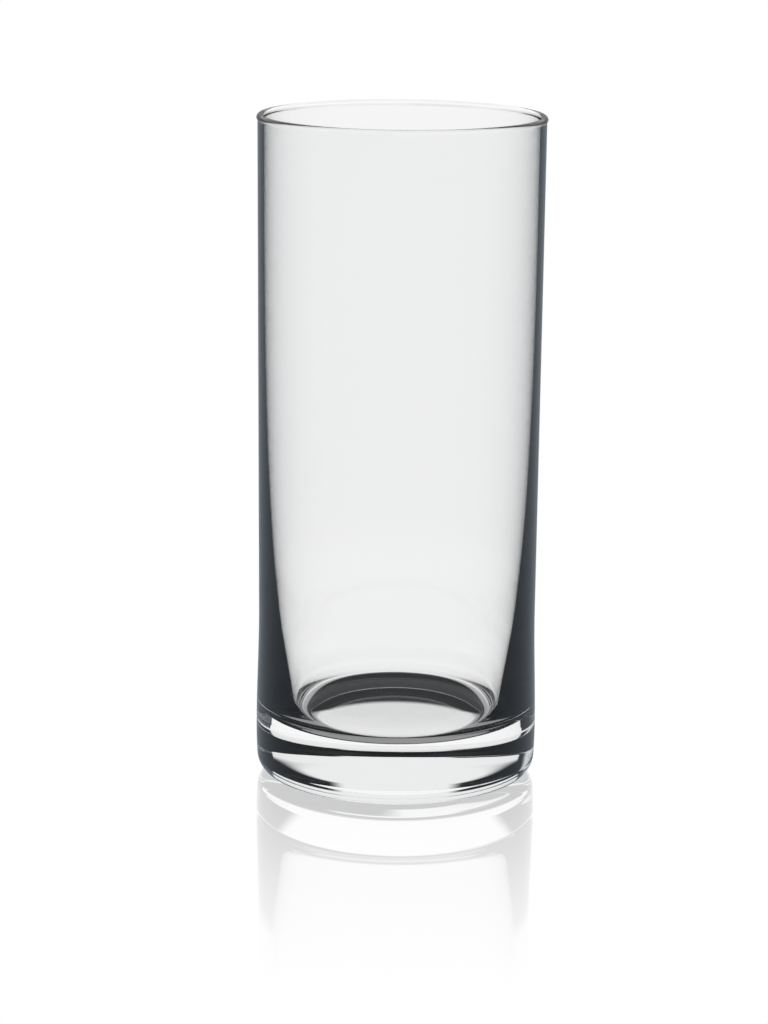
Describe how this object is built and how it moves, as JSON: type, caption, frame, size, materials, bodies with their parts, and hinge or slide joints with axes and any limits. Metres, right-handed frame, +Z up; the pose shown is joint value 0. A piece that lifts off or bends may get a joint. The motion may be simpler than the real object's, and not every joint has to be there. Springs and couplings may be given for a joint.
{
  "type": "highball glass",
  "caption": "Tall plain highball drinking glass in clear glass: thin beaded rim, nearly straight wall thickening downwards, and a heavy base with a hollow underside.",
  "frame": {"origin": "centre of the ring that the glass stands on, on the table plane", "axes": "+Z up along the axis of the glass; X and Y are alike, because the glass is round"},
  "size_m": [0.0642, 0.0642, 0.15],
  "materials": {
    "glass": "clear, fire-polished"
  },
  "bodies": {
    "root": {"rim": "glass", "wall": "glass", "base": "glass"}
  },
  "joints": []
}
